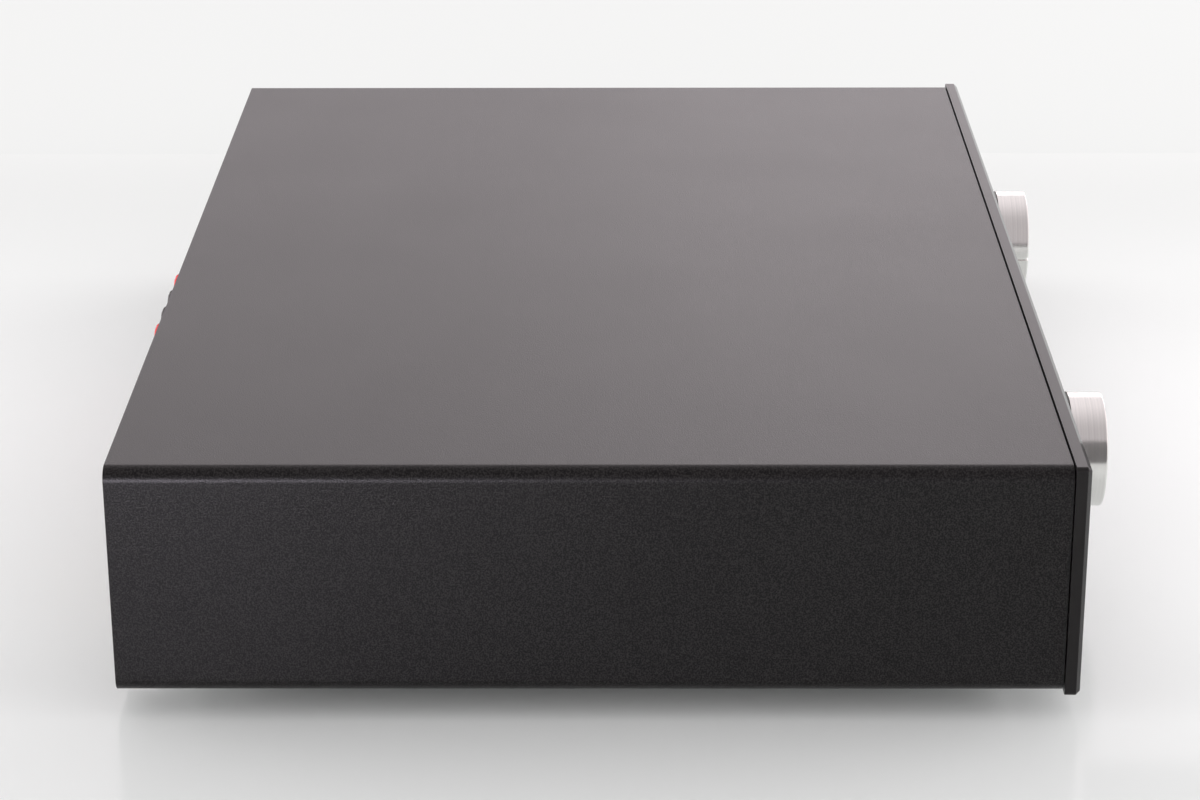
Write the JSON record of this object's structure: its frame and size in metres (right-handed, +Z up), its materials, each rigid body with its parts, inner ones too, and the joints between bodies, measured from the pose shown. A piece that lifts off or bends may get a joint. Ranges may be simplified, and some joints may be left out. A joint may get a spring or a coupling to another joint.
{
  "type": "integrated amplifier",
  "caption": "Low, wide black amplifier for home audio, with a folded sleeve, a thick front panel, turned metal knobs, and speaker posts and phono sockets at the back.",
  "frame": {"origin": "middle of the whole outline, on the surface that the feet stand on", "axes": "+Z up; the front panel faces -Y; +X is to the right of someone who stands in front of it"},
  "size_m": [0.44, 0.3444, 0.0843],
  "materials": {
    "powder_coat": "fine black powder coat, low sheen",
    "black_anodising": "black anodised, fine grain, satin",
    "turned_aluminium": "turned on a lathe, fine rings, bare",
    "zinc_steel": "zinc plated",
    "rear_paint": "matt black paint",
    "black_steel": "blackened",
    "rubber": "matt",
    "black_plastic": "fine moulded texture",
    "post_black": "moulded, half gloss",
    "post_red": "moulded, half gloss, a little see-through",
    "gilt": "gilt",
    "nickel": "nickel plated",
    "dark_lens": "polished, deep red to black",
    "board_green": "solder mask",
    "winding_film": "varnished film over copper",
    "can_sleeve": "shrunk plastic sleeve",
    "black_fins": "black anodised extrusion"
  },
  "bodies": {
    "case": {"cover": "powder_coat", "chassis_tray": "zinc_steel", "front_panel": "black_anodising", "rear_panel": "rear_paint", "rear_screw_left": "black_steel", "rear_screw_right": "black_steel", "foot_left_front": "rubber", "foot_left_rear": "rubber", "foot_right_front": "rubber", "foot_right_rear": "rubber", "foot_screw_left_front": "black_steel", "foot_screw_left_rear": "black_steel", "foot_screw_right_front": "black_steel", "foot_screw_right_rear": "black_steel", "cover_screw_left_front": "black_steel", "cover_screw_left_rear": "black_steel", "cover_screw_right_front": "black_steel", "cover_screw_right_rear": "black_steel", "volume_potentiometer": "zinc_steel", "selector_switch": "zinc_steel", "power_switch": "black_plastic", "indicator_window": "dark_lens", "control_board": "board_green", "mains_inlet": "black_plastic", "inlet_pin_live": "nickel", "inlet_pin_neutral": "nickel", "inlet_pin_earth": "nickel", "post_stud_right_plus": "gilt", "post_collar_right_plus": "post_red", "post_stud_right_minus": "gilt", "post_collar_right_minus": "post_black", "post_stud_left_minus": "gilt", "post_collar_left_minus": "post_black", "post_stud_left_plus": "gilt", "post_collar_left_plus": "post_red", "input_1_left": "gilt", "input_1_right": "gilt", "input_2_left": "gilt", "input_2_right": "gilt", "input_3_left": "gilt", "input_3_right": "gilt", "main_board": "board_green", "capacitor_1": "can_sleeve", "capacitor_2": "can_sleeve", "heatsink": "black_fins", "transformer": "winding_film", "transformer_clamp": "zinc_steel"},
    "volume_control": {"volume_knob": "turned_aluminium", "volume_shaft": "zinc_steel"},
    "selector_control": {"selector_knob": "turned_aluminium", "selector_shaft": "zinc_steel"},
    "power_button": {"power_button": "turned_aluminium"},
    "washer_right_plus": {"post_washer_right_plus": "gilt"},
    "cap_right_plus": {"post_cap_right_plus": "post_red"},
    "washer_right_minus": {"post_washer_right_minus": "gilt"},
    "cap_right_minus": {"post_cap_right_minus": "post_black"},
    "washer_left_minus": {"post_washer_left_minus": "gilt"},
    "cap_left_minus": {"post_cap_left_minus": "post_black"},
    "washer_left_plus": {"post_washer_left_plus": "gilt"},
    "cap_left_plus": {"post_cap_left_plus": "post_red"}
  },
  "joints": [
    {"name": "volume_turn", "type": "hinge", "parent": "case", "child": "volume_control", "pos_m": [0.114, -0.16, 0.0475], "axis": [0, 1, 0], "range_deg": [-54, 246]},
    {"name": "selector_turn", "type": "hinge", "parent": "case", "child": "selector_control", "pos_m": [-0.114, -0.16, 0.0475], "axis": [0, 1, 0], "range_deg": [-60, 0]},
    {"name": "power_press", "type": "slide", "parent": "case", "child": "power_button", "axis": [0, 1, 0], "range_m": [0, 0.0012], "stiffness_N_per_m": 400, "springref_m": -0.002},
    {"name": "post_travel_right_plus", "type": "slide", "parent": "case", "child": "washer_right_plus", "axis": [0, 1, 0], "range_m": [0, 0.004]},
    {"name": "post_turn_right_plus", "type": "hinge", "parent": "washer_right_plus", "child": "cap_right_plus", "pos_m": [0.0559, 0.16, 0.04455], "axis": [0, 1, 0], "range_deg": [0, 1800]},
    {"name": "post_travel_right_minus", "type": "slide", "parent": "case", "child": "washer_right_minus", "axis": [0, 1, 0], "range_m": [0, 0.004]},
    {"name": "post_turn_right_minus", "type": "hinge", "parent": "washer_right_minus", "child": "cap_right_minus", "pos_m": [0.0369, 0.16, 0.04455], "axis": [0, 1, 0], "range_deg": [0, 1800]},
    {"name": "post_travel_left_minus", "type": "slide", "parent": "case", "child": "washer_left_minus", "axis": [0, 1, 0], "range_m": [0, 0.004]},
    {"name": "post_turn_left_minus", "type": "hinge", "parent": "washer_left_minus", "child": "cap_left_minus", "pos_m": [0.0179, 0.16, 0.04455], "axis": [0, 1, 0], "range_deg": [0, 1800]},
    {"name": "post_travel_left_plus", "type": "slide", "parent": "case", "child": "washer_left_plus", "axis": [0, 1, 0], "range_m": [0, 0.004]},
    {"name": "post_turn_left_plus", "type": "hinge", "parent": "washer_left_plus", "child": "cap_left_plus", "pos_m": [-0.0011, 0.16, 0.04455], "axis": [0, 1, 0], "range_deg": [0, 1800]}
  ],
  "couplings": [
    {"joint": "post_travel_right_plus", "follows": "post_turn_right_plus", "m_per_rad": 0.0001273},
    {"joint": "post_travel_right_minus", "follows": "post_turn_right_minus", "m_per_rad": 0.0001273},
    {"joint": "post_travel_left_minus", "follows": "post_turn_left_minus", "m_per_rad": 0.0001273},
    {"joint": "post_travel_left_plus", "follows": "post_turn_left_plus", "m_per_rad": 0.0001273}
  ]
}
